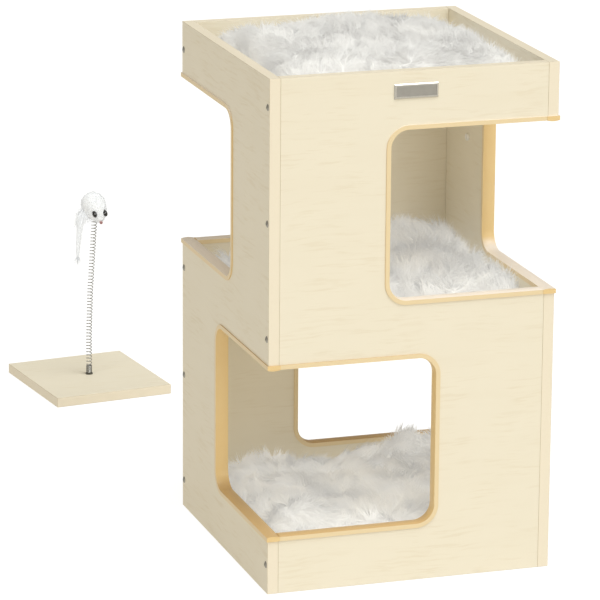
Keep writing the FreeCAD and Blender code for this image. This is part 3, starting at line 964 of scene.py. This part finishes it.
def strip_of(obj, name, strip, strips):
    """A copy of the skin with only its faces in one of some strips from left to right."""
    places = [v.co.x for v in obj.data.vertices]
    left, width = min(places), (max(places) - min(places)) / strips
    bm = bmesh.new()
    bm.from_mesh(obj.data)
    gone = [f for f in bm.faces
            if min(strips - 1, int((f.calc_center_median().x - left) / width)) != strip]
    bmesh.ops.delete(bm, geom=gone, context="FACES")
    mesh = bpy.data.meshes.new(name)
    bm.to_mesh(mesh)
    bm.free()
    return mesh_object(name, mesh)


class CATHOUSE_OT_cushions(bpy.types.Operator):
    """Make the three fur cushions: a puffed cover, and its pile in strips"""
    bl_idname = "cathouse.cushions"
    bl_label = "Cushions"

    def execute(self, context):
        settings = context.scene.cat_fur
        lock = lock_mesh("lock", FUR_BEND)
        margin = Vector((WALL_GAP, WALL_GAP, 0))
        for index, (bed, strips, tone, pile_share) in enumerate(BEDS):
            # Painted shade: this cushion's copy of the white pile, darkened by its tone.
            color = tuple(min(1.0, c * tone) for c in settings.color)
            material = fur_material(f"White Pile {bed}".title(), color, settings.painted_glow)
            body = bed + "_cushion"
            low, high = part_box(body + "_cover")
            cushion = puff(cushion_form(bed))
            cushion.data.materials.clear()
            cushion.data.materials.append(material)
            for strip in range(strips):
                skin = strip_of(cushion, f"{bed}_skin_{strip}", strip, strips)
                area = skin_area(skin, LOWEST_SLOPE)
                pile = grow_fur(skin, f"{bed}_pile_{strip + 1}", lock, {
                    "Locks per Square Metre": settings.locks / area,
                    "Length": settings.length * pile_share,
                    "Thickness": settings.thickness,
                    "Lift": 0.42,
                    "Drift": 0.9,
                    "Drift Size": 0.10,
                    "Clump Size": settings.clump,
                    "Clump Pull": 0.5,
                    "Lowest Slope": LOWEST_SLOPE,
                    "Seed": settings.seed + index * 10 + strip,
                    "Material": material})
                bpy.data.objects.remove(skin)
                keep_between(pile, low - margin, high + margin)
                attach(pile, body)
            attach(cushion, body)
            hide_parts(body + "_cover", body + "_filling")
        bpy.data.objects.remove(lock)
        return {"FINISHED"}


# ---------------------------------------------------------------- spring toy

COIL_STEPS = 16            # points in one turn of the wire
WIRE_SIDES = 6
CLOSED_PITCH = 1.08        # pitch of the closed turns, in thicknesses of wire


def axis_point(stations, height):
    """The point of the spring's axis at a height, along straight stretches joined at the stations."""
    for a, b in zip(stations, stations[1:]):
        if height <= b.z or b is stations[-1]:
            return a + (b - a) * ((height - a.z) / (b.z - a.z))


def wire_tube(name, path, radius):
    """A round wire along a path, closed at both ends."""
    bm = bmesh.new()
    rings = []
    for i, place in enumerate(path):
        ahead = path[min(i + 1, len(path) - 1)] - path[max(i - 1, 0)]
        rings.append(new_ring(bm, place, radius, WIRE_SIDES, ahead.to_track_quat("Z", "Y")))
    join_rings(bm, rings)
    bm.faces.new(list(reversed(rings[0])))
    bm.faces.new(rings[-1])
    return mesh_object(name, close_mesh(bm, name))


def spring_stations():
    """Foot, two bends and top of the spring's axis, from the CAD rods, and its outer radius."""
    low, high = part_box("lower_spring")
    radius = (high.x - low.x) / 2
    foot = middle_of("spring_ferrule")
    foot.z = low.z
    bends = {j["name"]: Vector(j["pos_m"]) for j in frame["joints"] if "pos_m" in j}
    lower = bends["spring_sway_ahead"]
    upper = bends["spring_sway_aside"]
    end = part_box("upper_spring")[1]
    top = Vector((end.x - radius, upper.y, end.z))
    return [foot, lower, upper, top], radius


class CATHOUSE_OT_spring(bpy.types.Operator):
    """Wind the toy's spring as one wire in two pieces, split halfway between the two sway joints"""
    bl_idname = "cathouse.spring"
    bl_label = "Spring"

    def execute(self, context):
        settings = context.scene.cat_spring
        groups = shared_groups()
        stations, outer = spring_stations()
        foot, lower, upper, top = stations
        turn_radius = outer - settings.wire / 2
        split = (lower.z + upper.z) / 2
        height = foot.z + settings.wire / 2
        angle = 0.0
        paths = ([], [])
        while height < top.z - settings.wire:
            axis = axis_point(stations, height)
            place = axis + Vector((math.cos(angle), math.sin(angle), 0)) * turn_radius
            paths[height > split].append(place)
            closed = height < foot.z + settings.foot
            pitch = settings.wire * CLOSED_PITCH if closed else settings.pitch
            height += pitch / COIL_STEPS
            angle += 2 * math.pi / COIL_STEPS
        paths[0].append(paths[1][0])
        material = metal("Spring Wire", (0.50, 0.50, 0.49), 0.30, groups)
        joined = (("spring_foot_coil", paths[0], "toy_stand", "spring_middle", lower,
                   ("lower_spring", "middle_spring")),
                  ("spring_top_coil", paths[1], "spring_middle", "mouse", upper, ("upper_spring",)))
        for name, path, near, far, bend, rods in joined:
            coil = wire_tube(name, path, settings.wire / 2)
            coil.data.materials.append(material)
            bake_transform(coil)
            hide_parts(*rods)
        finish_node("spring_ferrule", metal("Ferrule Steel", (0.20, 0.20, 0.19), 0.35, groups))
        return {"FINISHED"}


# ---------------------------------------------------------------- mouse

PLUSH_VOXEL = 0.0012
PLUSH_INSET = 0.95         # the skin next to the CAD body, which leaves room for its pile
PLUSH_BUMP = 0.0005
BUMP_SCALE = 160
ALL_SLOPES = -2.0          # lets the pile grow on faces that look any way
TAIL_SHARES = (0.20, 0.30, 0.40, 0.50, 0.60, 0.70, 0.80, 0.90, 0.97)    # stations down the tail
TAIL_SIDES = 10
TAIL_RADIUS = 0.0042       # of its core at the rump
TAIL_TAPER = 0.85          # share of that radius which is gone at its end


class CATHOUSE_OT_mouse(bpy.types.Operator):
    """Make the plush mouse: body, short pile, hanging tail, eyes and nose"""
    bl_idname = "cathouse.mouse"
    bl_label = "Mouse"

    def execute(self, context):
        groups = shared_groups()
        settings = context.scene.cat_mouse
        plush = fur_material("Short Plush", tuple(settings.plush), settings.plush_painted_glow)
        hair = fur_material("Tail Hair", tuple(settings.hair), settings.hair_painted_glow)
        body = nodes["mouse_body"]
        bm = bmesh.new()
        bm.from_mesh(body.data)
        bmesh.ops.remove_doubles(bm, verts=bm.verts, dist=1e-6)
        skin = mesh_object("mouse_plush", close_mesh(bm, "mouse_plush"))
        add_modifier(skin, "REMESH", mode="VOXEL", voxel_size=PLUSH_VOXEL)
        baked(skin)
        middle = middle_of("mouse_body")
        for vertex in skin.data.vertices:
            vertex.co = middle + (vertex.co - middle) * PLUSH_INSET
            vertex.co += vertex.normal * PLUSH_BUMP * noise.noise(vertex.co * BUMP_SCALE)
        shade_smooth(skin.data)
        skin.data.materials.clear()
        skin.data.materials.append(plush)
        lock = lock_mesh("plush_lock", PLUSH_BEND)
        pile = grow_fur(skin, "mouse_pile", lock, {
            "Locks per Square Metre": settings.plush_locks / skin_area(skin, ALL_SLOPES),
            "Length": settings.plush_length, "Thickness": 0.0004, "Lift": 0.2,
            "Drift": 0.3, "Drift Size": 0.05, "Clump Size": 0.004, "Clump Pull": 0.0,
            "Lowest Slope": ALL_SLOPES, "Seed": 5, "Material": plush})
        tail = tail_skin("mouse_tail_core")
        tail.data.materials.append(hair)
        tail_pile = grow_fur(tail, "mouse_tail_pile", lock, {
            "Locks per Square Metre": settings.hair_locks / skin_area(tail, ALL_SLOPES),
            "Length": settings.hair_length, "Thickness": 0.0005, "Lift": 0.05,
            "Drift": 0.05, "Drift Size": 0.04, "Clump Size": 0.02, "Clump Pull": 0.0,
            "Hang": 1.0, "Lowest Slope": ALL_SLOPES, "Seed": 9, "Material": hair})
        bpy.data.objects.remove(lock)
        pieces = ((skin, "plush"), (pile, "plush"), (tail, "tail_fur"), (tail_pile, "tail_fur"))
        for piece, slot in pieces:
            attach(piece, "mouse")
        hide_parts("mouse_body")
        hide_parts("mouse_tail")
        eye_black = plastic("Eye Black", (0.012, 0.012, 0.012), 0.08, groups, Coat_Weight=0.6)
        finish_node("mouse_eyes", eye_black)
        finish_node("mouse_nose", plastic("Nose Pink", (0.42, 0.22, 0.22), 0.35, groups))
        return {"FINISHED"}


def tail_skin(name):
    """The tail's core: a thin tapered tube from inside the rump down the line of its CAD solid."""
    mesh = nodes["mouse_tail"].data
    low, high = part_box("mouse_tail")
    length = high.z - low.z
    rump = middle_of("mouse_body")
    stations = []
    for share in TAIL_SHARES:
        level = high.z - length * share
        weights = [(1 / (1e-5 + (v.co.z - level) ** 2), v.co) for v in mesh.vertices]
        centre = sum((co * weight for weight, co in weights), Vector()) / sum(w for w, _ in weights)
        stations.append(Vector((centre.x, centre.y, level)))
    root = stations[0].lerp(rump, 0.4) + Vector((0, 0, length * 0.08))
    stations.insert(0, root)
    rings = []
    bm = bmesh.new()
    for index, station in enumerate(stations):
        radius = TAIL_RADIUS * (1 - TAIL_TAPER * index / (len(stations) - 1))
        rings.append(new_ring(bm, station, radius, TAIL_SIDES))
    join_rings(bm, rings)
    bm.faces.new(rings[0])
    bm.faces.new(list(reversed(rings[-1])))
    return mesh_object(name, close_mesh(bm, name))


# ---------------------------------------------------------------- studio

SWEEP_SIZE = 14
SWEEP_DROP = 0.0006        # keeps the sweep just under the object's foot
WORLD_COLOR = (1.0, 0.93, 0.80)
WORLD_STRENGTH = 0.38

# Each light's name, azimuth, elevation and width in degrees, strength and colour.
LIGHTS = (
    ("Key Light", -28, 66, 40, 1.75, (0.97, 1.0, 1.0)),
    ("Fill Light", -24, 14, 40, 0.60, (1.0, 0.99, 0.93)),
    ("Side Light", 50, 38, 10, 0.42, (1.0, 0.97, 0.86)),
)


def line_of(azimuth, elevation):
    """The way that a light or a camera looks. Azimuth 0 is towards the back, elevation is downwards."""
    return Vector((math.sin(azimuth) * math.cos(elevation),
                   math.cos(azimuth) * math.cos(elevation), -math.sin(elevation)))


def soft_sun(name, azimuth, elevation, width, strength, color):
    """A wide even light. Its angles are in degrees."""
    data = bpy.data.lights.new(name, "SUN")
    data.energy = strength
    data.angle = math.radians(width)
    data.color = color
    light = bpy.data.objects.new(name, data)
    bpy.context.scene.collection.objects.link(light)
    ahead = line_of(math.radians(azimuth), math.radians(elevation))
    light.rotation_euler = ahead.to_track_quat("-Z", "Y").to_euler()


class CATHOUSE_OT_studio(bpy.types.Operator):
    """Set the camera, the white sweep, the world and the soft lights"""
    bl_idname = "cathouse.studio"
    bl_label = "Studio"

    def execute(self, context):
        settings = context.scene.cat_studio
        azimuth, roll = settings.azimuth, settings.roll
        ahead = line_of(azimuth, settings.elevation)
        right = Vector((math.cos(azimuth), -math.sin(azimuth), 0))
        up = right.cross(ahead)
        tilted_right = right * math.cos(roll) + up * math.sin(roll)
        tilted_up = up * math.cos(roll) - right * math.sin(roll)
        camera = bpy.data.cameras.new("Camera")
        camera.sensor_width = 36
        camera.lens = settings.lens
        camera.clip_end = 50
        eye = bpy.data.objects.new("Camera", camera)
        context.scene.collection.objects.link(eye)
        axes = Matrix((tilted_right, tilted_up, -ahead)).transposed().to_4x4()
        eye.matrix_world = Matrix.Translation(settings.place) @ axes
        context.scene.camera = eye

        bm = bmesh.new()
        bmesh.ops.create_grid(bm, x_segments=4, y_segments=4, size=SWEEP_SIZE)
        floor = mesh_object("studio_floor", close_mesh(bm, "studio_floor"))
        floor.data.transform(Matrix.Translation((0, 0, -SWEEP_DROP)))
        if floor.data.polygons[0].normal.z < 0:
            floor.data.flip_normals()
        floor.data.materials.append(floor_material())

        world = bpy.data.worlds.new("Studio World")
        world.use_nodes = True
        backdrop = world.node_tree.nodes["Background"]
        backdrop.inputs["Color"].default_value = (*WORLD_COLOR, 1)
        backdrop.inputs["Strength"].default_value = WORLD_STRENGTH
        context.scene.world = world
        for light in LIGHTS:
            soft_sun(*light)
        context.scene.view_settings.view_transform = "Standard"
        context.scene.view_settings.look = "None"
        return {"FINISHED"}


# ---------------------------------------------------------------- add-on

class CATHOUSE_PT_panel(bpy.types.Panel):
    """Lists the steps and sizes of the cat house"""
    bl_label = "Cat House"
    bl_idname = "CATHOUSE_PT_panel"
    bl_space_type = "VIEW_3D"
    bl_region_type = "UI"
    bl_category = "Cat House"

    def draw(self, context):
        for operator in OPERATORS:
            self.layout.operator(operator.bl_idname)
        for owner, group in SETTINGS.items():
            box = self.layout.box()
            for prop in group.__annotations__:
                box.prop(getattr(context.scene, owner), prop)


SETTINGS = {
    "cat_laminate": LaminateSettings,
    "cat_trim": TrimSettings,
    "cat_fur": FurSettings,
    "cat_spring": SpringSettings,
    "cat_mouse": MouseSettings,
    "cat_studio": StudioSettings,
}
OPERATORS = (CATHOUSE_OT_studio, CATHOUSE_OT_boards, CATHOUSE_OT_trim, CATHOUSE_OT_hardware,
             CATHOUSE_OT_cushions, CATHOUSE_OT_spring, CATHOUSE_OT_mouse)
CLASSES = (*SETTINGS.values(), *OPERATORS, CATHOUSE_PT_panel)


def register():
    for cls in CLASSES:
        bpy.utils.register_class(cls)
    for owner, group in SETTINGS.items():
        setattr(bpy.types.Scene, owner, PointerProperty(type=group))


def unregister():
    for owner in SETTINGS:
        delattr(bpy.types.Scene, owner)
    for cls in reversed(CLASSES):
        bpy.utils.unregister_class(cls)


def main():
    register()
    for operator in OPERATORS:
        area, name = operator.bl_idname.split(".")
        getattr(getattr(bpy.ops, area), name)()


if __name__ == "__main__":
    main()
